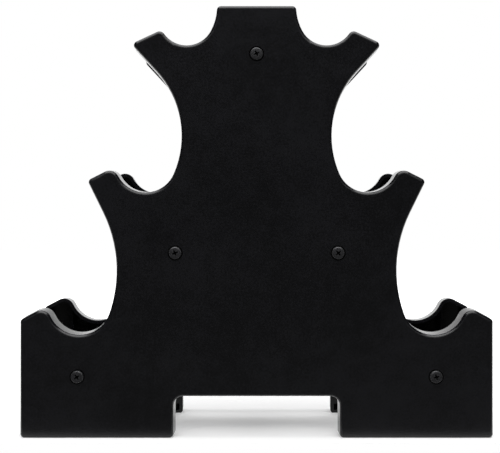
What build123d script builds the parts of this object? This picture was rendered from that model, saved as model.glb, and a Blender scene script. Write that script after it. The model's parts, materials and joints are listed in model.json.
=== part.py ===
"""Three-tier dumbbell rack: two moulded panels held apart by five screwed tubes.

The rack stands on the floor at Z = 0.  X runs along its width, Y through its depth
with the front at -Y, and the origin is the middle of its footprint.
"""
from build123d import *
import os
from collections import namedtuple
from math import sqrt

# ------------------------------------------------------------------ the panel's outline, mm
# A panel is a stepped pyramid.  On each tier a pair of round cradles holds the handles
# of the dumbbells, and an arm reaches out past each cradle.  The waists between the
# tiers are arcs that run smoothly into the cradle below and the arm above.
BOTTOM_CRADLE_HEIGHT = 108.1    # floor to the axis of the bottom cradles
MIDDLE_CRADLE_RISE = 114.0      # bottom cradle axis to middle cradle axis
TOP_CRADLE_RISE = 115.8         # middle cradle axis to top cradle axis
CROWN_RISE = 9.3                # top cradle axis to the top edge of the panel

TOP_CRADLE_OFFSET = 56.4        # centre line to the axis of a top cradle
MIDDLE_CRADLE_STEP = 33.1       # top cradle axis out to the middle one
BOTTOM_CRADLE_STEP = 53.2       # middle cradle axis out to the bottom one

TOP_CRADLE_RADIUS = 22.3
MIDDLE_CRADLE_RADIUS = 24.9
BOTTOM_CRADLE_RADIUS = 25.6

TOP_ARM_REACH = 44.4            # cradle axis out to the corner of the arm
MIDDLE_ARM_REACH = 46.6
BOTTOM_ARM_REACH = 47.3         # cradle axis out to the outer edge of the panel
TOP_ARM_DROP = 21.1             # cradle axis down to the corner of the arm
MIDDLE_ARM_DROP = 15.2
BOTTOM_ARM_DROP = 13.4
TOP_ARM_END_SLOPE = 25.0        # the end face of an arm, degrees from level
MIDDLE_ARM_END_SLOPE = 26.7
BOTTOM_ARM_END_SLOPE = 27.8
TOP_ARM_UNDERSIDE = 47.3        # the underside of an arm, degrees from level
MIDDLE_ARM_UNDERSIDE = 63.9
CROWN_SIDE_RADIUS = 42.0        # from upright at the top edge down to the top cradle
UPPER_WAIST_RADIUS = 76.8       # between the top and middle tiers
LOWER_WAIST_RADIUS = 105.8      # between the middle and bottom tiers

LEG_GAP_WIDTH = 134.2           # between the two legs of a panel
LEG_GAP_HEIGHT = 33.5

EDGE_RADIUS = 2.8               # rounding all round the outer face
CORNER_EXTRA_RADIUS = 0.4       # sharp corners are this much rounder than the face's edge
TOP_LIP_RADIUS = 4.5            # lip between a cradle and the end face of its arm
MIDDLE_LIP_RADIUS = 8.0
BOTTOM_LIP_RADIUS = 8.5
LEG_GAP_CORNER_RADIUS = 8.0

# ------------------------------------------------------------------ the panel's section, mm
PANEL_THICKNESS = 17.0
FACE_THICKNESS = 3.0
WALL_THICKNESS = 3.0            # the wall round the edge
WALL_DRAFT = 2.5                # the wall leans out towards its open edge, degrees
RIM_RADIUS = 0.5                # rounding of the open edge, outside
RIB_THICKNESS = 2.0
RIB_RECESS = 1.5                # the ribs stop this far short of the wall's open edge
UPPER_RIB_BAYS = 3              # rows of cells between the middle and top tubes
LOWER_RIB_BAYS = 2              # rows of cells between the bottom and middle tubes
SIDE_RIB_BAYS = 2               # columns of cells between neighbouring tubes
OUTER_RIB_BAYS = 2              # columns of cells outside the bottom tubes
PANEL_GAP = 76.0                # clear space between the two panels

# ------------------------------------------------------------------ tubes and fasteners, mm
TOP_TUBE_DROP = 29.3            # top cradle axis down to the top tube
MIDDLE_TUBE_RISE = 40.6         # bottom cradle axis up to the middle tubes
MIDDLE_TUBE_INSET = 24.1        # middle cradle axis in to the middle tubes
BOTTOM_TUBE_HEIGHT = 49.3       # floor to the bottom tubes
BOTTOM_TUBE_INSET = 46.0        # outer edge of the panel in to the bottom tubes

TUBE_DIAMETER = 25.0
TUBE_WALL = 1.5
SOCKET_WALL = 2.6
SOCKET_CLEARANCE = 0.2          # all round the tube
SEAT_THICKNESS = 2.0            # pad on the inside of the face that the tube end seats on

PLUG_COLLAR = 2.0               # thickness of the collar that caps the tube
PLUG_SLEEVE_WALL = 1.4          # the sleeve is pressed into the tube
PLUG_SLEEVE_LENGTH = 8.0
PLUG_BOSS_WALL = 2.0            # round the screw's thread
PLUG_BOSS_LENGTH = 14.0
PLUG_CHAMFER = 0.5

SCREW_DIAMETER = 5.0            # M5 pan head with a cross recess
SCREW_LENGTH = 16.0
SCREW_TIP_CHAMFER = 0.6
HEAD_DIAMETER = 10.0
HEAD_HEIGHT = 3.8
HEAD_CROWN = 0.5                # rise of the head's nearly flat top
HEAD_EDGE_RADIUS = 1.3
DRIVE_WIDTH = 4.9               # across the cross recess at the top of the head
DRIVE_SLOT = 1.1
DRIVE_DEPTH = 2.6
DRIVE_TAPER = 0.4               # the slots are this share of their width at the bottom
HOLE_CLEARANCE = 0.25           # all round the screw in the panel
THREAD_CLEARANCE = 0.05         # all round the screw in the plug
HEAD_CLEARANCE = 1.1            # all round the head in its recess
HEAD_RECESS = 1.6               # how deep the head's recess goes into the face

# ------------------------------------------------------------------ places that follow
MIDDLE_CRADLE_HEIGHT = BOTTOM_CRADLE_HEIGHT + MIDDLE_CRADLE_RISE
TOP_CRADLE_HEIGHT = MIDDLE_CRADLE_HEIGHT + TOP_CRADLE_RISE
PANEL_HEIGHT = TOP_CRADLE_HEIGHT + CROWN_RISE
MIDDLE_CRADLE_OFFSET = TOP_CRADLE_OFFSET + MIDDLE_CRADLE_STEP
BOTTOM_CRADLE_OFFSET = MIDDLE_CRADLE_OFFSET + BOTTOM_CRADLE_STEP
HALF_WIDTH = BOTTOM_CRADLE_OFFSET + BOTTOM_ARM_REACH

TOP_TUBE_HEIGHT = TOP_CRADLE_HEIGHT - TOP_TUBE_DROP
MIDDLE_TUBE_HEIGHT = BOTTOM_CRADLE_HEIGHT + MIDDLE_TUBE_RISE
MIDDLE_TUBE_OFFSET = MIDDLE_CRADLE_OFFSET - MIDDLE_TUBE_INSET
BOTTOM_TUBE_OFFSET = HALF_WIDTH - BOTTOM_TUBE_INSET
TUBE_PLACES = {
    "top": (0, TOP_TUBE_HEIGHT),
    "middle_left": (-MIDDLE_TUBE_OFFSET, MIDDLE_TUBE_HEIGHT),
    "middle_right": (MIDDLE_TUBE_OFFSET, MIDDLE_TUBE_HEIGHT),
    "bottom_left": (-BOTTOM_TUBE_OFFSET, BOTTOM_TUBE_HEIGHT),
    "bottom_right": (BOTTOM_TUBE_OFFSET, BOTTOM_TUBE_HEIGHT),
}
# How far each screw happens to be turned, in degrees: front panel, then rear panel.
DRIVE_TURNS = {
    "top": (28, 71),
    "middle_left": (24, 8),
    "middle_right": (40, 55),
    "bottom_left": (33, 17),
    "bottom_right": (17, 84),
}

# Depths in a panel are measured from its open edge, which faces the other panel.
HOLLOW_DEPTH = PANEL_THICKNESS - FACE_THICKNESS
SEAT_DEPTH = HOLLOW_DEPTH - SEAT_THICKNESS
HEAD_SEAT_DEPTH = PANEL_THICKNESS - HEAD_RECESS
TUBE_RADIUS = TUBE_DIAMETER / 2
TUBE_BORE_RADIUS = TUBE_RADIUS - TUBE_WALL
SOCKET_BORE_RADIUS = TUBE_RADIUS + SOCKET_CLEARANCE
SOCKET_RADIUS = SOCKET_BORE_RADIUS + SOCKET_WALL
SCREW_RADIUS = SCREW_DIAMETER / 2
HEAD_RADIUS = HEAD_DIAMETER / 2
TUBE_LENGTH = PANEL_GAP + 2 * (SEAT_DEPTH - PLUG_COLLAR)

Arm = namedtuple("Arm", "axis radius tip lip")


# ------------------------------------------------------------------ the outline
def arm(offset, height, radius, reach, drop, end_slope):
    """One tier on the right of a panel: the cradle and the corners of its arm."""
    axis = Vector(offset, height)
    tip = axis + Vector(reach, -drop)
    up_the_end = Vector(-1, 0).rotate(Axis.Z, -end_slope)
    to_axis = axis - tip
    along = to_axis.dot(up_the_end)
    past = sqrt(radius**2 - (to_axis.length**2 - along**2))
    return Arm(axis, radius, tip, tip + up_the_end * (along - past))


def waist(above, underside, below, radius):
    """The arc between two tiers: where it leaves the upper arm, its middle, and its end.

    It is tangent to the underside of the upper arm, and the lower cradle's circle lies
    inside its own and touches it.
    """
    along = Vector(1, 0).rotate(Axis.Z, underside)
    outward = Vector(1, 0).rotate(Axis.Z, underside - 90)
    clear = (below.axis - above.tip).dot(outward)
    climb = sqrt((clear - below.radius) * (2 * radius - below.radius - clear))
    centre = below.axis + outward * (radius - clear) + along * climb
    start = centre - outward * radius
    end = centre + (below.axis - centre).normalized() * radius
    middle = centre + ((start - centre) + (end - centre)).normalized() * radius
    return start, middle, end


def crown(top):
    """The arc from the top edge down to the top cradle: its start, middle and end.

    It starts upright, and the cradle's circle lies inside its own and touches it.
    """
    apart = CROWN_SIDE_RADIUS - top.radius
    centre = top.axis + Vector(sqrt(apart**2 - CROWN_RISE**2), CROWN_RISE)
    start = centre - Vector(CROWN_SIDE_RADIUS, 0)
    end = centre + (top.axis - centre).normalized() * CROWN_SIDE_RADIUS
    middle = centre + ((start - centre) + (end - centre)).normalized() * CROWN_SIDE_RADIUS
    return start, middle, end


def panel_outline():
    """The outer face of a panel, with all its corners rounded."""
    top = arm(TOP_CRADLE_OFFSET, TOP_CRADLE_HEIGHT, TOP_CRADLE_RADIUS,
              TOP_ARM_REACH, TOP_ARM_DROP, TOP_ARM_END_SLOPE)
    middle = arm(MIDDLE_CRADLE_OFFSET, MIDDLE_CRADLE_HEIGHT, MIDDLE_CRADLE_RADIUS,
                 MIDDLE_ARM_REACH, MIDDLE_ARM_DROP, MIDDLE_ARM_END_SLOPE)
    bottom = arm(BOTTOM_CRADLE_OFFSET, BOTTOM_CRADLE_HEIGHT, BOTTOM_CRADLE_RADIUS,
                 BOTTOM_ARM_REACH, BOTTOM_ARM_DROP, BOTTOM_ARM_END_SLOPE)
    upper_waist = waist(top, TOP_ARM_UNDERSIDE, middle, UPPER_WAIST_RADIUS)
    lower_waist = waist(middle, MIDDLE_ARM_UNDERSIDE, bottom, LOWER_WAIST_RADIUS)

    crown_top, crown_side, crown_foot = crown(top)
    foot_outer = Vector(HALF_WIDTH, 0)
    foot_inner = Vector(LEG_GAP_WIDTH / 2, 0)
    gap_corner = Vector(LEG_GAP_WIDTH / 2, LEG_GAP_HEIGHT)

    right = [
        ThreePointArc(crown_top, crown_side, crown_foot),
        ThreePointArc(crown_foot, top.axis - Vector(0, top.radius), top.lip),
        Line(top.lip, top.tip),
        Line(top.tip, upper_waist[0]),
        ThreePointArc(*upper_waist),
        ThreePointArc(upper_waist[2], middle.axis - Vector(0, middle.radius), middle.lip),
        Line(middle.lip, middle.tip),
        Line(middle.tip, lower_waist[0]),
        ThreePointArc(*lower_waist),
        ThreePointArc(lower_waist[2], bottom.axis - Vector(0, bottom.radius), bottom.lip),
        Line(bottom.lip, bottom.tip),
        Line(bottom.tip, foot_outer),
        Line(foot_outer, foot_inner),
        Line(foot_inner, gap_corner),
    ]
    left = [edge.mirror(Plane.YZ) for edge in right]
    across = [Line(mirrored(crown_top), crown_top), Line(mirrored(gap_corner), gap_corner)]
    face = Face(Wire(right + left + across))

    corner = EDGE_RADIUS + CORNER_EXTRA_RADIUS
    rounded = [(point, corner) for point in (crown_top, top.tip, middle.tip, bottom.tip,
                                             foot_outer, foot_inner)]
    rounded += [(top.lip, TOP_LIP_RADIUS), (middle.lip, MIDDLE_LIP_RADIUS),
                (bottom.lip, BOTTOM_LIP_RADIUS), (gap_corner, LEG_GAP_CORNER_RADIUS)]
    for point, radius in rounded:
        for place in (point, mirrored(point)):
            vertex = min(face.vertices(), key=lambda v: (Vector(v) - place).length)
            face = face.fillet_2d(radius, [vertex])
    return face


def mirrored(point):
    """The same point on the other side of the centre line."""
    return Vector(-point.X, point.Y)


# ------------------------------------------------------------------ the moulded panel
def stations(first, last, bays):
    """Evenly spaced places from first to last, with the first left out."""
    return [first + (last - first) * step / bays for step in range(1, bays + 1)]


def rib_grid():
    """Upright and level ribs through every tube socket, with more in between."""
    columns = stations(0, MIDDLE_TUBE_OFFSET, SIDE_RIB_BAYS)
    columns += stations(MIDDLE_TUBE_OFFSET, BOTTOM_TUBE_OFFSET, SIDE_RIB_BAYS)
    columns += stations(BOTTOM_TUBE_OFFSET, HALF_WIDTH, OUTER_RIB_BAYS)[:-1]
    rows = [BOTTOM_TUBE_HEIGHT]
    rows += stations(BOTTOM_TUBE_HEIGHT, MIDDLE_TUBE_HEIGHT, LOWER_RIB_BAYS)
    rows += stations(MIDDLE_TUBE_HEIGHT, TOP_TUBE_HEIGHT, UPPER_RIB_BAYS)
    depth = HOLLOW_DEPTH - RIB_RECESS
    middle = RIB_RECESS + depth / 2
    upright = Box(RIB_THICKNESS, PANEL_HEIGHT, depth)
    level = Box(2 * HALF_WIDTH, RIB_THICKNESS, depth)
    ribs = [Pos(x, PANEL_HEIGHT / 2, middle) * upright
            for x in [0] + columns + [-x for x in columns]]
    ribs += [Pos(0, z, middle) * level for z in rows]
    return ribs


def standing(radius, low, high):
    """A round bar along the panel's depth, on the axis of a tube."""
    return Pos(0, 0, (low + high) / 2) * Cylinder(radius, high - low)


def moulded(face, depth):
    """A block from the open edge up to a face, its walls leaning out to the open edge."""
    return extrude(Pos(0, 0, depth) * face, depth, dir=(0, 0, -1), taper=-WALL_DRAFT)


def panel():
    """One panel lying on its open edge: X across, Y up the panel, Z out to the face."""
    face = panel_outline()
    block = moulded(face, PANEL_THICKNESS)
    block = fillet(block.faces().sort_by(Axis.Z)[-1].edges(), EDGE_RADIUS)
    block = fillet(block.faces().sort_by(Axis.Z)[0].edges(), RIM_RADIUS)
    hollow = moulded(offset(face, -WALL_THICKNESS), HOLLOW_DEPTH)
    places = [Pos(x, z, 0) for x, z in TUBE_PLACES.values()]

    inside = Part() + rib_grid()
    inside += [place * standing(SOCKET_RADIUS, 0, HOLLOW_DEPTH) for place in places]
    body = block - hollow + (inside & hollow)
    body -= [place * standing(SOCKET_BORE_RADIUS, 0, SEAT_DEPTH) for place in places]
    hole = standing(SCREW_RADIUS + HOLE_CLEARANCE, SEAT_DEPTH, PANEL_THICKNESS)
    recess = standing(HEAD_RADIUS + HEAD_CLEARANCE, HEAD_SEAT_DEPTH, PANEL_THICKNESS)
    body -= [place * (hole + recess) for place in places]
    under_the_feet = Box(3 * HALF_WIDTH, PANEL_HEIGHT, 3 * PANEL_THICKNESS)
    return body - Pos(0, -PANEL_HEIGHT / 2, 0) * under_the_feet


# ------------------------------------------------------------------ tubes and fasteners
def tube():
    """A cross tube, centred between the panels, along Z."""
    return Cylinder(TUBE_RADIUS, TUBE_LENGTH) - Cylinder(TUBE_BORE_RADIUS, TUBE_LENGTH)


def plug():
    """The threaded plug in a tube's end, in a panel's depths: its collar caps the tube."""
    under_collar = SEAT_DEPTH - PLUG_COLLAR
    sleeve_end = under_collar - PLUG_SLEEVE_LENGTH
    boss_end = under_collar - PLUG_BOSS_LENGTH
    thread_radius = SCREW_RADIUS + THREAD_CLEARANCE
    collar = standing(TUBE_RADIUS, under_collar, SEAT_DEPTH)
    sleeve = standing(TUBE_BORE_RADIUS, sleeve_end, under_collar)
    sleeve = chamfer(sleeve.edges().group_by(Axis.Z)[0], PLUG_CHAMFER)
    sleeve -= standing(TUBE_BORE_RADIUS - PLUG_SLEEVE_WALL, sleeve_end, under_collar)
    boss = standing(thread_radius + PLUG_BOSS_WALL, boss_end, under_collar)
    return collar + sleeve + boss - standing(thread_radius, boss_end, SEAT_DEPTH)


def drive():
    """The cross recess in a screw's head: two crossed blades that narrow as they go in."""
    top = Pos(0, 0, HEAD_HEIGHT) * Rectangle(DRIVE_WIDTH, DRIVE_SLOT)
    low = Pos(0, 0, HEAD_HEIGHT - DRIVE_DEPTH) * Rectangle(DRIVE_WIDTH * DRIVE_TAPER,
                                                          DRIVE_SLOT * DRIVE_TAPER)
    blade = loft([top.face(), low.face()])
    return blade + blade.rotate(Axis.Z, 90)


def screw(turn):
    """A pan-head screw in a panel's depths, its cross recess turned by some degrees."""
    side = HEAD_HEIGHT - HEAD_CROWN
    crown_radius = (HEAD_RADIUS**2 + HEAD_CROWN**2) / (2 * HEAD_CROWN)
    half_way = HEAD_RADIUS / 2
    crown_centre = HEAD_HEIGHT - crown_radius
    on_crown = Vector(half_way, crown_centre + sqrt(crown_radius**2 - half_way**2))
    profile = Face(Wire([
        Line((0, 0), (HEAD_RADIUS, 0)),
        Line((HEAD_RADIUS, 0), (HEAD_RADIUS, side)),
        ThreePointArc((HEAD_RADIUS, side), on_crown, (0, HEAD_HEIGHT)),
        Line((0, HEAD_HEIGHT), (0, 0)),
    ]))
    corner = min(profile.vertices(), key=lambda v: (Vector(v) - Vector(HEAD_RADIUS, side)).length)
    profile = profile.fillet_2d(HEAD_EDGE_RADIUS, [corner])
    head = revolve(Plane.XZ * profile, Axis.Z)
    shank = standing(SCREW_RADIUS, -SCREW_LENGTH, 0)
    shank = chamfer(shank.edges().group_by(Axis.Z)[0], SCREW_TIP_CHAMFER)
    whole = head + shank - drive()
    return Pos(0, 0, HEAD_SEAT_DEPTH) * whole.rotate(Axis.Z, turn)


# ------------------------------------------------------------------ the assembly
def in_front(shape):
    """From a panel's own depths to the front of the rack."""
    return Plane((0, -PANEL_GAP / 2, 0), x_dir=(1, 0, 0), z_dir=(0, -1, 0)) * shape


def behind(shape):
    """The same, at the back of the rack, upright and turned to face the other way."""
    return in_front(shape).rotate(Axis.Z, 180)


def pieces():
    """Every piece of the rack by its name."""
    found = {}
    shell = panel()
    found["front_panel"] = in_front(shell)
    found["rear_panel"] = behind(shell)
    for name, (x, z) in TUBE_PLACES.items():
        front_turn, rear_turn = DRIVE_TURNS[name]
        found[f"tube_{name}"] = Pos(x, 0, z) * tube().rotate(Axis.X, 90)
        found[f"plug_front_{name}"] = in_front(Pos(x, z, 0) * plug())
        found[f"plug_rear_{name}"] = behind(Pos(-x, z, 0) * plug())
        found[f"screw_front_{name}"] = in_front(Pos(x, z, 0) * screw(front_turn))
        found[f"screw_rear_{name}"] = behind(Pos(-x, z, 0) * screw(rear_turn))
    return found


os.makedirs("parts", exist_ok=True)
for node, shape in pieces().items():
    export_step(shape, f"parts/{node}.step")
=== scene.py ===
"""The look of a three-tier dumbbell rack: moulded panels, coated tubes, plugs and screws."""
import bpy
import json
from math import cos, pi, radians, sin, sqrt
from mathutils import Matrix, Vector
from mathutils.bvhtree import BVHTree

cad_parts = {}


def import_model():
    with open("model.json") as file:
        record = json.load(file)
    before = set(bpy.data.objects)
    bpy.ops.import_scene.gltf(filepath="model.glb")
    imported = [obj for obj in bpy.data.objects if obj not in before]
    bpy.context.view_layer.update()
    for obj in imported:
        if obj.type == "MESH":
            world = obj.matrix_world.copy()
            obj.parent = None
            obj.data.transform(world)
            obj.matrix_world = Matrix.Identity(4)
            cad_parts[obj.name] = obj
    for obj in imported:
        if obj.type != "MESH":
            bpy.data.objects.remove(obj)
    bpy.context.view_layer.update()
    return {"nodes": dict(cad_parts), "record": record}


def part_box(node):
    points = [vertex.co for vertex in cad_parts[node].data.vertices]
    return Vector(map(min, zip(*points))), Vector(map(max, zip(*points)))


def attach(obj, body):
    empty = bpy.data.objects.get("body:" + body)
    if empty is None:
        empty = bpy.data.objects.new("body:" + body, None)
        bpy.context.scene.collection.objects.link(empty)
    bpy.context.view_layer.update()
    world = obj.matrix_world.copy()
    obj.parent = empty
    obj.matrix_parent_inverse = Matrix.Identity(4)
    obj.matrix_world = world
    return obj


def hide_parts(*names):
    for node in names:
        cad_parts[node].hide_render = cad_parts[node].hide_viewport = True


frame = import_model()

MM = 0.001


def middle(node):
    """The middle of a node's box."""
    low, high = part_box(node)
    return (low + high) / 2


# ------------------------------------------------------------------ places on the rack
NODES = frame["nodes"]
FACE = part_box("rear_panel")[1].y        # how far each panel's face stands from the middle
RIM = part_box("rear_panel")[0].y         # how far its rim does
FACE_THICKNESS = 3.0 * MM
HEAD_RECESS = 1.6 * MM
TUBES = sorted(name for name in NODES if name.startswith("tube_"))
# The rack's two sides are alike, so the right side's cradles and tubes stand for both.
CRADLE_MIDDLES = [(abs(mount["pos_m"][0]), mount["pos_m"][2])
                  for mount in frame["record"]["mounts"]
                  if mount["name"].startswith("cradle_") and mount["name"].endswith("_right")]
TUBE_MIDDLES = [(abs(middle(name).x), middle(name).z)
                for name in TUBES if not name.endswith("_left")]
CRADLE_RUB = (31.0 * MM, 27.0 * MM)     # from a cradle's middle: unrubbed, and rubbed
SEAT_SHADE_REACH = (7.0 * MM, 6.3 * MM)       # from a screw's middle: unshaded, and full painted shade in the seat

# ------------------------------------------------------------------ the pan-head screw, metres
SHANK_RADIUS = 2.5 * MM
ROOT_RADIUS = 2.05 * MM
PITCH = 0.8 * MM
SHANK_LENGTH = 16.0 * MM
PLAIN_NECK = 0.9 * MM
NECK_FILLET = 0.1 * MM
THREAD_END = 0.7 * MM           # how far the thread stops short of the tip
THREAD_FLAT = 1.25              # over 1, the crest of the thread is flat
RINGS_A_TURN = 4
HEAD_TO_SHANK = 4               # sides of the head to each side of the shank
TIP_CHAMFER = 0.5 * MM
HEAD_RADIUS = 5.0 * MM
HEAD_HEIGHT = 3.8 * MM
HEAD_CROWN = 0.5 * MM
HEAD_ROUNDING = 1.3 * MM
SEAT_CHAMFER = 0.2 * MM         # between the head's side and its seat
CROSS_WIDTH = 4.9 * MM
CROSS_SLOT = 1.1 * MM
CROSS_DEPTH = 2.6 * MM
CROSS_WIDTH_AT_DEPTH = 2.2 * MM
CROSS_SLOT_AT_DEPTH = 0.6 * MM
CROSS_CORE = 1.25 * MM
CROSS_CORE_AT_DEPTH = 0.75 * MM
CROSS_ROUNDING = 0.12 * MM
CROSS_POINT = 0.3 * MM          # how much deeper the middle of the recess's floor is
SMOOTH_EDGE = 42                # degrees, over which an edge of the screw stays sharp
# How rubbed the plate is: 0 where nothing touches, 1 bare steel; -1 marks the recess for its
# painted shade.
IN_RECESS = -1.0
RECESS_EDGE = 0.3
RECESS_SURROUND = 0.2
ON_CROWN = 0.05
UNDER_HEAD = 0.1
ON_SHANK = 0.0
# Round the head's rounding: degrees from the crown, and how rubbed.
HEAD_WEAR = ((18, 0.1), (36, 0.35), (54, 0.6), (72, 0.5), (90, 0.3))
# How far each screw happens to be turned, in degrees: front panel, then rear panel.
SCREW_TURNS = {
    "top": (28, 71),
    "middle_left": (24, 8),
    "middle_right": (40, 55),
    "bottom_left": (33, 17),
    "bottom_right": (17, 84),
}

# ------------------------------------------------------------------ marks of the moulding
PIN_DIAMETER = 7.0 * MM
PIN_MARK_HEIGHT = 0.2 * MM
PIN_SIDES = 24
PIN_CLEARANCE = 0.75            # of the diameter: the flat that a pin needs round its middle
PIN_COLUMNS = [x * MM for x in (16.3, 49.0, 85.0, 124.0, 156.0)]
PIN_ROWS = [z * MM for z in (28.0, 74.0, 124.0, 175.0, 228.5, 282.0, 325.0)]
FLAT_WITHIN = 0.1 * MM

# ------------------------------------------------------------------ the studio, metres and watts
VIEW_DISTANCE = 0.7545          # from the front panel's face
VIEW_HEIGHT = 0.1872
VIEW_WIDTH = 0.4012             # what the picture takes in at the front face
VIEW_SHIFT = (-0.0132, -0.043)
NEAREST_SEEN = 0.01
FLOOR_SIDE = 2.0
FLOOR_FRONT = -0.070
FLOOR_BACK = 3.0
FLOOR_COLOUR = (0.85, 0.85, 0.85)
FLOOR_ROUGHNESS = 0.9
FLOOR_GLOW = (0.23, 0.9)        # near the rack, so that its shadow stays, and far from it
FLOOR_GLOW_REACH = (0.2, 1.6)   # where near ends and far begins
MAIN_LAMP = {"at": (0, -0.2, 1.3), "aim": (0, -0.2, 0), "size": (1.4, 1.35), "power": 17}
BACK_LAMP = {"at": (0, 1.05, 0.95), "aim": (0, 0, 0), "size": (1.4, 0.4), "power": 9}
FRONT_LAMP = {"at": (0, -1.05, 0.95), "aim": (0, 0, 0), "size": (1.4, 0.4), "power": 8.3}
AMBIENT = 0.35

# How bright each part of the studio is in reflections.
ROOM_GLOSS = 0.03
FRONT_GLOSS = 0.025
OVERHEAD_GLOSS = 1.6
BACKDROP_GLOSS = 1.4
FLOOR_GLOSS = 0.10
# Where each part fades in: the X, Y or Z of a direction where it is dark, and where it is full.
BACKDROP_BACKWARD = (0.91, 0.96)
BACKDROP_UPWARD = (0.0, 0.05)
OVERHEAD_BACKWARD = (0.46, 0.40)
OVERHEAD_FORWARD = (-0.92, -0.62)
OVERHEAD_UPWARD = (0.10, 0.55)
OVERHEAD_SIDEWAYS = (0.57, 0.48)
FRONT_FORWARD = (-0.5, -0.8)
FLOOR_DOWNWARD = (-0.05, -0.20)

# ------------------------------------------------------------------ the finishes
# Each texture is a noise's scale in repeats per metre, its detail and its roughness.
PLASTIC_CLOUD = (14.0, 3.0, 0.5)
PLASTIC_FLOW = (90.0, 4.0, 0.6)
PLASTIC_PITS = (620.0, 3.0, 0.7)
PLASTIC_GRAIN = (1700.0, 2.0, 0.6)
PLASTIC_STREAKS = (1.0, 3.0, 0.6)
STREAK_STRETCH = (900.0, 60.0, 900.0)   # short across a handle, long along it
# Depths in a panel, each as where a zone starts or ends, and where it is full.
FACE_ZONE = (FACE - 0.9 * MM, FACE - 0.1 * MM)
# the floor of the inside, darkened with painted shade
INSIDE_ZONE = ((RIM + 0.5 * MM, RIM + 2.0 * MM), (FACE - 2.0 * MM, FACE - 2.6 * MM))
# the seats of the screws' heads, darkened with painted shade
SEAT_ZONE = ((FACE - 3.2 * MM, FACE - 2.8 * MM), (FACE - 0.2 * MM, FACE - 0.5 * MM))
FACING_OUT = (0.80, 0.95)               # the Y of a normal: not a face, and a face
PLASTIC_CONTRAST = (0.42, 0.58)
DARKEST_TONE = 0.35
WALL_ROUGHNESS = 0.13
FACE_ROUGHNESS = 0.27
PANEL_SPECULAR = 0.35
PANEL_DARK = (0.0003, 0.0003, 0.0004)
PANEL_LIGHT = (0.0068, 0.0069, 0.0082)
GRAIN_DEPTH = 0.012 * MM
SCUFF_DEPTH = 0.01 * MM

COAT_PEEL = (420.0, 1.5, 0.4)
COAT_FINE = (1900.0, 2.0, 0.6)
COAT_CLOUD = (35.0, 3.0, 0.5)
COAT_DARK = (0.0085, 0.0085, 0.0095)
COAT_LIGHT = (0.0125, 0.0125, 0.0135)
COAT_ROUGHNESS = 0.30
PEEL_DEPTH = 0.05 * MM
COAT_FINE_DEPTH = 0.008 * MM

ZINC_BLOTCH = (260.0, 4.0, 0.65)
ZINC_FINE = (1600.0, 2.0, 0.6)
ZINC_DARK = (0.34, 0.35, 0.36)
ZINC_LIGHT = (0.50, 0.51, 0.53)
ZINC_ROUGHNESS = 0.28
ZINC_FINE_DEPTH = 0.012 * MM

PLATE_BLOTCH = (900.0, 3.0, 0.6)
PLATE_FINE = (4200.0, 2.0, 0.6)
PLATE_DARK = (0.020, 0.020, 0.022)
PLATE_LIGHT = (0.042, 0.042, 0.045)
BARE_STEEL = (0.15, 0.15, 0.155)
# the painted shade in the cross recess
RECESS_SHADE = (0.004, 0.004, 0.0045)
BARED_PATCHES = (0.30, 0.62)            # of the blotches: whole plate, and bare steel
IN_RECESS_SHADE = (0.0, -0.6)                   # of how rubbed it is: no painted shade, and full painted shade in the recess
PLATE_ROUGHNESS = 0.34
PLATE_METALLIC = 0.6
PLATE_FINE_DEPTH = 0.006 * MM


# ------------------------------------------------------------------ making nodes
def add(tree, kind, inputs=(), **settings):
    """A node with its settings, and its inputs set to values or joined to other nodes."""
    node = tree.nodes.new(kind)
    for setting, value in settings.items():
        setattr(node, setting, value)
    for socket, value in dict(inputs).items():
        if isinstance(value, bpy.types.NodeSocket):
            tree.links.new(value, node.inputs[socket])
        else:
            node.inputs[socket].default_value = value
    return node


def math(tree, operation, first, second=0.0, third=0.0):
    """One sum on one to three numbers or sockets."""
    node = add(tree, "ShaderNodeMath", {0: first, 1: second, 2: third}, operation=operation)
    return node.outputs[0]


def summed(tree, value, *shares):
    """A value with others added to it, each at its own share."""
    for other, share in shares:
        value = math(tree, "MULTIPLY_ADD", other, share, value)
    return value


def spread(tree, value, low, high, to_low=0.0, to_high=1.0, smooth=True):
    """A value between low and high, spread over another range and held inside it."""
    node = add(tree, "ShaderNodeMapRange",
               {"Value": value, "From Min": low, "From Max": high,
                "To Min": to_low, "To Max": to_high},
               interpolation_type="SMOOTHSTEP" if smooth else "LINEAR")
    return node.outputs["Result"]


def noise(tree, place, scale, detail, roughness):
    """An uneven value from 0 to 1."""
    node = add(tree, "ShaderNodeTexNoise",
               {"Vector": place, "Scale": scale, "Detail": detail, "Roughness": roughness})
    return node.outputs["Fac"]


def blended(tree, share, first, second):
    """A colour that goes from the first, a colour or a socket, to the second colour."""
    start = first if isinstance(first, bpy.types.NodeSocket) else (*first, 1)
    node = add(tree, "ShaderNodeMix", {"Factor": share, 6: start, 7: (*second, 1)},
               data_type="RGBA")
    return node.outputs[2]


def relief(tree, height, depth, strength, under=None):
    """A normal from a height of 0 to 1, with the real depth of the relief in metres."""
    inputs = {"Height": height, "Distance": depth, "Strength": strength}
    if under is not None:
        inputs["Normal"] = under
    return add(tree, "ShaderNodeBump", inputs).outputs["Normal"]


def new_finish(name):
    """An empty material: its tree, its shader, and the place on the piece."""
    material = bpy.data.materials.new(name)
    material.use_nodes = True
    tree = material.node_tree
    shader = tree.nodes["Principled BSDF"]
    place = add(tree, "ShaderNodeTexCoord").outputs["Object"]
    return material, tree, shader, place


def dress(tree, shader, colour, rough, normal):
    """Joins a colour, a roughness and a normal to the shader."""
    tree.links.new(colour, shader.inputs["Base Color"])
    tree.links.new(rough, shader.inputs["Roughness"])
    tree.links.new(normal, shader.inputs["Normal"])


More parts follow.
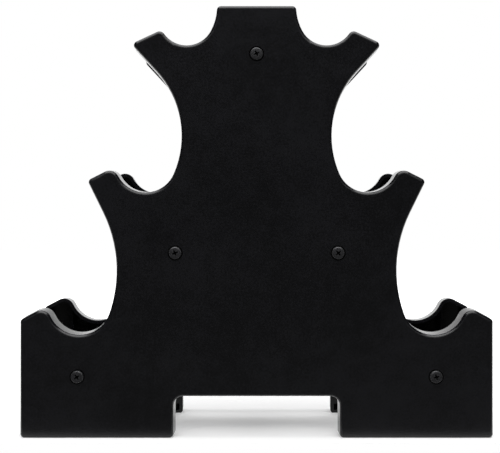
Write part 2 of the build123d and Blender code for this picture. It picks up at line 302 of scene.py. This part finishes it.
# ------------------------------------------------------------------ finishes
def around(tree, along, middles, reaches):
    """A share round axes that run from front to back: 0 and 1 at the two distances from them."""
    across = math(tree, "ABSOLUTE", along.outputs["X"])
    share = 0.0
    for x, z in middles:
        away = math(tree, "POWER", math(tree, "SUBTRACT", across, x), 2.0)
        up = math(tree, "POWER", math(tree, "SUBTRACT", along.outputs["Z"], z), 2.0)
        reach = math(tree, "SQRT", math(tree, "ADD", away, up))
        share = math(tree, "MAXIMUM", share, spread(tree, reach, *reaches))
    return share


def layer(tree, depth, low, high):
    """1 in a layer of depths, which fades in over the low pair and out over the high pair."""
    return math(tree, "MULTIPLY", spread(tree, depth, *low), spread(tree, depth, *high))


def moulded_plastic():
    """Black plastic: a fine spark-eroded grain on the faces, smoother walls, rubbed cradles, and
    painted shade in the screws' seats and on the floor of the inside.
    """
    material, tree, shader, place = new_finish("black_moulded_plastic")
    facing = add(tree, "ShaderNodeTexCoord").outputs["Normal"]
    facing = add(tree, "ShaderNodeSeparateXYZ", {0: facing})
    along = add(tree, "ShaderNodeSeparateXYZ", {0: place})
    depth = math(tree, "ABSOLUTE", along.outputs["Y"])
    cloud = noise(tree, place, *PLASTIC_CLOUD)
    flow = noise(tree, place, *PLASTIC_FLOW)
    pits = noise(tree, place, *PLASTIC_PITS)
    grain = noise(tree, place, *PLASTIC_GRAIN)

    # the outer face, the floor of the inside, and the seats that the screws' heads stand in; the
    # last two get painted shade
    face = spread(tree, depth, *FACE_ZONE)
    inside = math(tree, "MULTIPLY", layer(tree, depth, *INSIDE_ZONE),
                  spread(tree, math(tree, "ABSOLUTE", facing.outputs["Y"]), *FACING_OUT))
    seats = math(tree, "MULTIPLY", layer(tree, depth, *SEAT_ZONE),
                 around(tree, along, TUBE_MIDDLES, SEAT_SHADE_REACH))

    # scuffs where handles are laid and lifted
    rubbed = math(tree, "MULTIPLY", around(tree, along, CRADLE_MIDDLES, CRADLE_RUB),
                  math(tree, "SUBTRACT", 1.0, face))
    stretched = add(tree, "ShaderNodeMapping", {"Vector": place, "Scale": STREAK_STRETCH})
    scuffs = math(tree, "MULTIPLY", rubbed,
                  noise(tree, stretched.outputs[0], *PLASTIC_STREAKS))

    tone = summed(tree, 0.0, (flow, 0.2), (cloud, 0.3), (pits, 0.5))
    tone = spread(tree, tone, *PLASTIC_CONTRAST, DARKEST_TONE, 1.0)
    # painted shade: the seats and the floor of the inside are darkened where shade falls
    painted_shade = math(tree, "MAXIMUM", seats, inside)
    tone = math(tree, "MULTIPLY", tone, math(tree, "SUBTRACT", 1.0, painted_shade))
    colour = blended(tree, tone, PANEL_DARK, PANEL_LIGHT)

    rough = spread(tree, face, 0.0, 1.0, WALL_ROUGHNESS, FACE_ROUGHNESS, smooth=False)
    rough = summed(tree, rough, (flow, 0.04), (pits, 0.03), (scuffs, 0.05))

    normal = relief(tree, grain, GRAIN_DEPTH, strength=0.5)
    normal = relief(tree, pits, GRAIN_DEPTH, strength=0.5, under=normal)
    normal = relief(tree, scuffs, SCUFF_DEPTH, strength=0.4, under=normal)
    shader.inputs["Specular IOR Level"].default_value = PANEL_SPECULAR
    dress(tree, shader, colour, rough, normal)
    return material


def powder_coat():
    """Black powder coat on steel tube, with its orange peel."""
    material, tree, shader, place = new_finish("black_powder_coat")
    peel = noise(tree, place, *COAT_PEEL)
    fine = noise(tree, place, *COAT_FINE)
    cloud = noise(tree, place, *COAT_CLOUD)
    colour = blended(tree, cloud, COAT_DARK, COAT_LIGHT)
    rough = summed(tree, COAT_ROUGHNESS, (cloud, 0.10), (fine, 0.06))
    normal = relief(tree, peel, PEEL_DEPTH, strength=0.6)
    normal = relief(tree, fine, COAT_FINE_DEPTH, strength=0.4, under=normal)
    dress(tree, shader, colour, rough, normal)
    return material


def cast_zinc():
    """Bare die-cast zinc, dull and slightly blotched."""
    material, tree, shader, place = new_finish("die_cast_zinc")
    blotch = noise(tree, place, *ZINC_BLOTCH)
    fine = noise(tree, place, *ZINC_FINE)
    colour = blended(tree, blotch, ZINC_DARK, ZINC_LIGHT)
    rough = summed(tree, ZINC_ROUGHNESS, (blotch, 0.25))
    normal = relief(tree, fine, ZINC_FINE_DEPTH, strength=0.5)
    shader.inputs["Metallic"].default_value = 1.0
    dress(tree, shader, colour, rough, normal)
    return material


def black_zinc():
    """Black zinc plate on steel, rubbed brighter on its edges, with painted shade in the recess.
    """
    material, tree, shader, place = new_finish("black_zinc_plate")
    rubbed = add(tree, "ShaderNodeAttribute", attribute_name="rubbed").outputs["Fac"]
    blotch = noise(tree, place, *PLATE_BLOTCH)
    fine = noise(tree, place, *PLATE_FINE)
    bared = math(tree, "MULTIPLY", rubbed, spread(tree, blotch, *BARED_PATCHES))
    # painted shade: the cross recess goes dark where shade falls in it
    recess_shade = spread(tree, rubbed, *IN_RECESS_SHADE)
    colour = blended(tree, blotch, PLATE_DARK, PLATE_LIGHT)
    colour = blended(tree, bared, colour, BARE_STEEL)
    colour = blended(tree, recess_shade, colour, RECESS_SHADE)
    rough = summed(tree, PLATE_ROUGHNESS, (blotch, 0.16), (recess_shade, 0.3))
    normal = relief(tree, fine, PLATE_FINE_DEPTH, strength=0.4)
    shader.inputs["Metallic"].default_value = PLATE_METALLIC
    dress(tree, shader, colour, rough, normal)
    return material


FINISHES = {
    "panel": moulded_plastic(),
    "tube": powder_coat(),
    "plug": cast_zinc(),
    "screw": black_zinc(),
}


def finish_nodes():
    """Gives each CAD node the finish of its kind."""
    for name, node in NODES.items():
        kind = "panel" if name.endswith("_panel") else name.split("_")[0]
        for held in node.material_slots:
            held.material = FINISHES[kind]


# ------------------------------------------------------------------ the screw's shape
def sampled_angles():
    """Angles once round the head, closer together near the corners of the cross."""
    corner = 180 / pi * (CROSS_SLOT / CROSS_WIDTH)
    steps = [-corner, corner, -9, -4.5, 0, 4.5, 9, 45]
    steps += [side * step for side in (-1, 1) for step in (14, 16, 18.5, 22, 26, 30, 35, 40)]
    return [radians(arm + step) for arm in (0, 90, 180, 270) for step in sorted(steps)]


def cross_reach(angle, width, slot, core):
    """How far the cross recess reaches from the screw's axis, at one angle and depth."""
    fold = (angle + pi / 4) % (pi / 2) - pi / 4
    along = width / 2 / cos(fold)
    beside = slot / 2 / max(abs(sin(fold)), 1e-9)
    return max(min(along, beside), core)


def recess(share, grow=0.0):
    """The reach of the cross recess at a share of its depth, grown by a margin, at any angle."""
    width = CROSS_WIDTH + (CROSS_WIDTH_AT_DEPTH - CROSS_WIDTH) * share
    slot = CROSS_SLOT + (CROSS_SLOT_AT_DEPTH - CROSS_SLOT) * share
    core = CROSS_CORE + (CROSS_CORE_AT_DEPTH - CROSS_CORE) * share
    return lambda angle: cross_reach(angle, width, slot, core) + grow


def crown_height(radius):
    """How high the head's top is at a radius, above its seat."""
    ball = (HEAD_RADIUS**2 + HEAD_CROWN**2) / (2 * HEAD_CROWN)
    return HEAD_HEIGHT - ball + sqrt(ball**2 - radius**2)


def thread_reach(height):
    """The reach of the rolled thread at one height, at any angle."""
    def reach(angle):
        turn = (height / PITCH - angle / (2 * pi)) % 1.0
        crest = min(1.0, THREAD_FLAT * (1 - abs(2 * turn - 1)))
        return ROOT_RADIUS + (SHANK_RADIUS - ROOT_RADIUS) * crest
    return reach


def ring(angles, reach, height):
    """Points once round the screw's axis. A reach goes by the angle, a height by the reach."""
    radii = [reach(a) if callable(reach) else reach for a in angles]
    heights = [height(r) if callable(height) else height for r in radii]
    return [Vector((r * cos(a), r * sin(a), z)) for r, a, z in zip(radii, angles, heights)]


def head_rings(angles):
    """Rings of points from the recess's floor over the head to its neck, each with its wear; the
    recess's rings carry the mark for its painted shade.
    """
    rows = [(recess(share), crown_height(0) - CROSS_DEPTH * share, IN_RECESS)
            for share in (1.0, 0.7, 0.4, 0.1)]
    edge = recess(0.0, 3 * CROSS_ROUNDING)
    flat = HEAD_RADIUS - HEAD_ROUNDING
    rows += [(recess(0.0), lambda r: crown_height(r) - CROSS_ROUNDING / 2, IN_RECESS),
             (recess(0.0, CROSS_ROUNDING), crown_height, RECESS_EDGE),
             (edge, crown_height, RECESS_SURROUND),
             (lambda a: (edge(a) + flat) / 2, crown_height, ON_CROWN),
             (flat, crown_height, ON_CROWN)]
    shoulder = crown_height(flat) - HEAD_ROUNDING
    for degrees, wear in HEAD_WEAR:
        turn = radians(degrees)
        rows.append((flat + HEAD_ROUNDING * sin(turn),
                     shoulder + HEAD_ROUNDING * cos(turn), wear))
    rows += [(HEAD_RADIUS, SEAT_CHAMFER, UNDER_HEAD),
             (HEAD_RADIUS - SEAT_CHAMFER, 0.0, UNDER_HEAD),
             (SHANK_RADIUS + NECK_FILLET, 0.0, UNDER_HEAD)]
    return [(ring(angles, reach, height), wear) for reach, height, wear in rows]


def shank_rings(sides):
    """Rings of points from under the head, down a rolled thread, to the chamfered tip."""
    angles = [2 * pi * side / sides for side in range(sides)]
    rise = PITCH / RINGS_A_TURN
    steps = int((SHANK_LENGTH - PLAIN_NECK - THREAD_END) / rise) + 1
    heights = [-PLAIN_NECK - step * rise for step in range(steps)]
    rows = [(ROOT_RADIUS, -NECK_FILLET)]
    rows += [(thread_reach(height), height) for height in heights]
    rows += [(ROOT_RADIUS, TIP_CHAMFER - SHANK_LENGTH),
             (ROOT_RADIUS - TIP_CHAMFER, -SHANK_LENGTH)]
    return [(ring(angles, reach, height), ON_SHANK) for reach, height in rows]


def screw_blank():
    """One pan-head screw, its seat at the origin and its head up along Z."""
    angles = sampled_angles()
    rings = head_rings(angles) + shank_rings(len(angles) // HEAD_TO_SHANK)
    points = [Vector((0, 0, crown_height(0) - CROSS_DEPTH - CROSS_POINT))]
    rubbed = [IN_RECESS]
    faces = []
    before = []
    for circle, wear in rings:
        here = range(len(points), len(points) + len(circle))
        points += circle
        rubbed += [wear] * len(here)
        for i in range(len(here)):
            j = (i + 1) % len(here)
            if not before:              # the floor of the recess
                faces.append((0, here[i], here[j]))
            elif len(before) == len(here):
                faces.append((before[i], here[i], here[j], before[j]))
            else:                       # from the head's many sides to the shank's fewer
                fan = [before[(i * HEAD_TO_SHANK + k) % len(before)]
                       for k in range(HEAD_TO_SHANK, -1, -1)]
                faces.append((*fan, here[i], here[j]))
        before = here
    faces.append(tuple(before))
    mesh = bpy.data.meshes.new("screw_blank")
    mesh.from_pydata(points, [], faces)
    mesh.attributes.new("rubbed", "FLOAT", "POINT").data.foreach_set("value", rubbed)
    mesh.shade_smooth()
    mesh.set_sharp_from_angle(angle=radians(SMOOTH_EDGE))
    return mesh


# ------------------------------------------------------------------ setting pieces in place
def new_object(name, data):
    """An object in the scene, at the origin."""
    made = bpy.data.objects.new(name, data)
    bpy.context.scene.collection.objects.link(made)
    return made


def new_tree(name, sizes):
    """A Geometry Nodes tree with places, a finish and named sizes, and its two end nodes."""
    tree = bpy.data.node_groups.new(name, "GeometryNodeTree")
    face = tree.interface
    face.new_socket("Geometry", in_out="OUTPUT", socket_type="NodeSocketGeometry")
    face.new_socket("Places", in_out="INPUT", socket_type="NodeSocketGeometry")
    face.new_socket("Finish", in_out="INPUT", socket_type="NodeSocketMaterial")
    for size, kind in sizes.items():
        face.new_socket(size, in_out="INPUT", socket_type=kind)
    return tree, add(tree, "NodeGroupInput"), add(tree, "NodeGroupOutput")


def end_tree(tree, given, out, shape):
    """Realizes the instances, gives them their finish and ends the tree."""
    whole = add(tree, "GeometryNodeRealizeInstances", {"Geometry": shape})
    coated = add(tree, "GeometryNodeSetMaterial",
                 {"Geometry": whole.outputs[0], "Material": given.outputs["Finish"]})
    tree.links.new(coated.outputs[0], out.inputs["Geometry"])
    return tree


def screws_tree():
    """A screw at each place, turned to face out of its panel."""
    tree, given, out = new_tree("screws_in_place", {"Screw": "NodeSocketObject",
                                                    "Size": "NodeSocketFloat"})
    shape = add(tree, "GeometryNodeObjectInfo", {"Object": given.outputs["Screw"]})
    turned = add(tree, "GeometryNodeInputNamedAttribute", {"Name": "turned"},
                 data_type="FLOAT_VECTOR")
    way = add(tree, "FunctionNodeEulerToRotation", {0: turned.outputs["Attribute"]})
    placed = add(tree, "GeometryNodeInstanceOnPoints",
                 {"Points": given.outputs["Places"], "Instance": shape.outputs["Geometry"],
                  "Rotation": way.outputs[0], "Scale": given.outputs["Size"]})
    return end_tree(tree, given, out, placed.outputs[0])


def pin_marks_tree():
    """A low round pad at each place, where an ejector pin pushed the moulding out."""
    tree, given, out = new_tree("pin_marks", {"Pin diameter": "NodeSocketFloat",
                                              "Mark height": "NodeSocketFloat"})
    radius = math(tree, "MULTIPLY", given.outputs["Pin diameter"], 0.5)
    pad = add(tree, "GeometryNodeMeshCylinder",
              {"Vertices": PIN_SIDES, "Radius": radius, "Depth": given.outputs["Mark height"]})
    placed = add(tree, "GeometryNodeInstanceOnPoints",
                 {"Points": given.outputs["Places"], "Instance": pad.outputs["Mesh"],
                  "Rotation": (pi / 2, 0.0, 0.0)})
    return end_tree(tree, given, out, placed.outputs[0])


def grown(name, places, tree, values, attributes=()):
    """A plain mesh made by a tree at the places, joined to the rack's body."""
    mesh = bpy.data.meshes.new(name + "_places")
    mesh.from_pydata(places, [], [])
    for attribute, vectors in dict(attributes).items():
        held = mesh.attributes.new(attribute, "FLOAT_VECTOR", "POINT")
        held.data.foreach_set("vector", [number for vector in vectors for number in vector])
    piece = new_object(name, mesh)
    modifier = piece.modifiers.new(name, "NODES")
    modifier.node_group = tree
    for item in tree.interface.items_tree:
        if item.in_out == "INPUT" and item.name in values:
            modifier[item.identifier] = values[item.name]
    evaluated = piece.evaluated_get(bpy.context.evaluated_depsgraph_get())
    made = bpy.data.meshes.new_from_object(evaluated)
    made.name = name
    piece.modifiers.clear()
    piece.data = made
    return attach(piece, "root")


def screws():
    """Ten screws, one at each end of every tube."""
    blank = new_object("screw_blank", screw_blank())
    places, turned = [], []
    for tube in TUBES:
        at = middle(tube)
        front, rear = SCREW_TURNS[tube.removeprefix("tube_")]
        for side, turn, about in ((-1, front, 0.0), (1, rear, pi)):
            places.append((at.x, side * (FACE - HEAD_RECESS), at.z))
            turned.append((pi / 2, -radians(turn), about))
    piece = grown("pan_head_screws", places, screws_tree(),
                  {"Finish": FINISHES["screw"], "Screw": blank, "Size": 1.0},
                  {"turned": turned})
    bpy.data.objects.remove(blank)
    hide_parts(*(name for name in NODES if name.startswith("screw_")))


def flat_inside(panel, x, y, z, side):
    """Whether a pin's whole end would meet the flat inside of a panel's face here."""
    reach = PIN_DIAMETER * PIN_CLEARANCE
    for dx, dz in ((0, 0), (reach, 0), (-reach, 0), (0, reach), (0, -reach)):
        hit = panel.ray_cast(Vector((x + dx, 0, z + dz)), Vector((0, side, 0)))[0]
        if hit is None or abs(abs(hit.y) - y) > FLAT_WITHIN:
            return False
    return True


def pin_marks():
    """Ejector-pin marks inside both panels, in the middle of the cells between the ribs."""
    inside = FACE - FACE_THICKNESS
    columns = [-x for x in PIN_COLUMNS] + PIN_COLUMNS
    places = []
    for node, side in (("front_panel", -1), ("rear_panel", 1)):
        mesh = NODES[node].data
        panel = BVHTree.FromPolygons([v.co for v in mesh.vertices],
                                     [tuple(p.vertices) for p in mesh.polygons])
        places += [(x, side * (inside - PIN_MARK_HEIGHT / 2), z)
                   for z in PIN_ROWS for x in columns if flat_inside(panel, x, inside, z, side)]
    piece = grown("ejector_pin_marks", places, pin_marks_tree(),
                  {"Finish": FINISHES["panel"], "Pin diameter": PIN_DIAMETER,
                   "Mark height": PIN_MARK_HEIGHT})


# ------------------------------------------------------------------ floor, world, lamps, camera
def floor():
    """A pale floor that keeps the rack's shadow and glows towards white away from it."""
    mesh = bpy.data.meshes.new("floor")
    mesh.from_pydata([(-FLOOR_SIDE, FLOOR_FRONT, 0), (FLOOR_SIDE, FLOOR_FRONT, 0),
                      (FLOOR_SIDE, FLOOR_BACK, 0), (-FLOOR_SIDE, FLOOR_BACK, 0)],
                     [], [(0, 1, 2, 3)])
    piece = new_object("floor", mesh)
    material, tree, shader, place = new_finish("pale_floor")
    shader.inputs["Base Color"].default_value = (*FLOOR_COLOUR, 1)
    shader.inputs["Roughness"].default_value = FLOOR_ROUGHNESS
    shader.inputs["Specular IOR Level"].default_value = 0.0
    path = add(tree, "ShaderNodeLightPath")
    seen = math(tree, "MAXIMUM", path.outputs["Is Camera Ray"], path.outputs["Is Glossy Ray"])
    seen = math(tree, "MAXIMUM", seen, path.outputs["Is Transmission Ray"])
    away = add(tree, "ShaderNodeVectorMath", {0: place}, operation="LENGTH").outputs["Value"]
    glow = math(tree, "MULTIPLY", seen, spread(tree, away, *FLOOR_GLOW_REACH, *FLOOR_GLOW))
    lit = add(tree, "ShaderNodeEmission", {"Strength": glow})
    both = add(tree, "ShaderNodeAddShader", {0: shader.outputs[0], 1: lit.outputs[0]})
    tree.links.new(both.outputs[0], tree.nodes["Material Output"].inputs["Surface"])
    mesh.materials.append(material)


def world():
    """White to look at; in reflections a pale backdrop, a wide light overhead and a dim room."""
    studio = bpy.data.worlds.new("studio")
    bpy.context.scene.world = studio
    studio.use_nodes = True
    tree = studio.node_tree
    tree.nodes.remove(tree.nodes["Background"])
    path = add(tree, "ShaderNodeLightPath")
    way = add(tree, "ShaderNodeSeparateXYZ",
              {0: add(tree, "ShaderNodeTexCoord").outputs["Generated"]})
    aside = math(tree, "ABSOLUTE", way.outputs["X"])
    back = way.outputs["Y"]
    up = way.outputs["Z"]
    backdrop = spread(tree, back, *BACKDROP_BACKWARD, 0.0, BACKDROP_GLOSS)
    backdrop = math(tree, "MULTIPLY", backdrop, spread(tree, up, *BACKDROP_UPWARD))
    overhead = math(tree, "MULTIPLY", spread(tree, back, *OVERHEAD_BACKWARD),
                    spread(tree, back, *OVERHEAD_FORWARD))
    overhead = math(tree, "MULTIPLY", overhead, spread(tree, up, *OVERHEAD_UPWARD))
    overhead = math(tree, "MULTIPLY", overhead, spread(tree, aside, *OVERHEAD_SIDEWAYS))
    gloss = math(tree, "MULTIPLY_ADD", overhead, OVERHEAD_GLOSS, ROOM_GLOSS)
    gloss = math(tree, "ADD", gloss, backdrop)
    gloss = math(tree, "ADD", gloss, spread(tree, back, *FRONT_FORWARD, 0.0, FRONT_GLOSS))
    gloss = math(tree, "ADD", gloss, spread(tree, up, *FLOOR_DOWNWARD, 0.0, FLOOR_GLOSS))
    white = {"Color": (1, 1, 1, 1)}
    ambient = add(tree, "ShaderNodeBackground", {**white, "Strength": AMBIENT})
    shine = add(tree, "ShaderNodeBackground", {**white, "Strength": gloss})
    seen = add(tree, "ShaderNodeBackground", {**white, "Strength": 1.0})
    lit = add(tree, "ShaderNodeMixShader",
              {"Fac": path.outputs["Is Glossy Ray"],
               1: ambient.outputs[0], 2: shine.outputs[0]})
    clear = math(tree, "MAXIMUM", path.outputs["Is Camera Ray"],
                 path.outputs["Is Transmission Ray"])
    whole = add(tree, "ShaderNodeMixShader",
                {"Fac": clear, 1: lit.outputs[0], 2: seen.outputs[0]})
    tree.links.new(whole.outputs[0], tree.nodes["World Output"].inputs["Surface"])


def soft_lamp(name, at, aim, size, power, reflected=False):
    """A wide lamp that aims at a point, and shows in reflections or only lights."""
    data = bpy.data.lights.new(name, "AREA")
    data.shape = "RECTANGLE"
    data.size, data.size_y = size
    data.energy = power
    lamp = new_object(name, data)
    lamp.location = at
    lamp.rotation_euler = (Vector(aim) - Vector(at)).to_track_quat("-Z", "Y").to_euler()
    lamp.visible_glossy = reflected


def camera():
    """A level camera in front of the rack, shifted to frame it."""
    data = bpy.data.cameras.new("camera")
    data.lens = data.sensor_width * VIEW_DISTANCE / VIEW_WIDTH
    data.shift_x, data.shift_y = VIEW_SHIFT
    data.clip_start = NEAREST_SEEN
    eye = new_object("camera", data)
    eye.location = (0, -FACE - VIEW_DISTANCE, VIEW_HEIGHT)
    eye.rotation_euler = (pi / 2, 0, 0)
    bpy.context.scene.camera = eye


finish_nodes()
screws()
pin_marks()
floor()
world()
soft_lamp("main_lamp", **MAIN_LAMP, reflected=True)
soft_lamp("back_lamp", **BACK_LAMP)
soft_lamp("front_lamp", **FRONT_LAMP)
camera()
bpy.context.scene.view_settings.view_transform = "Standard"
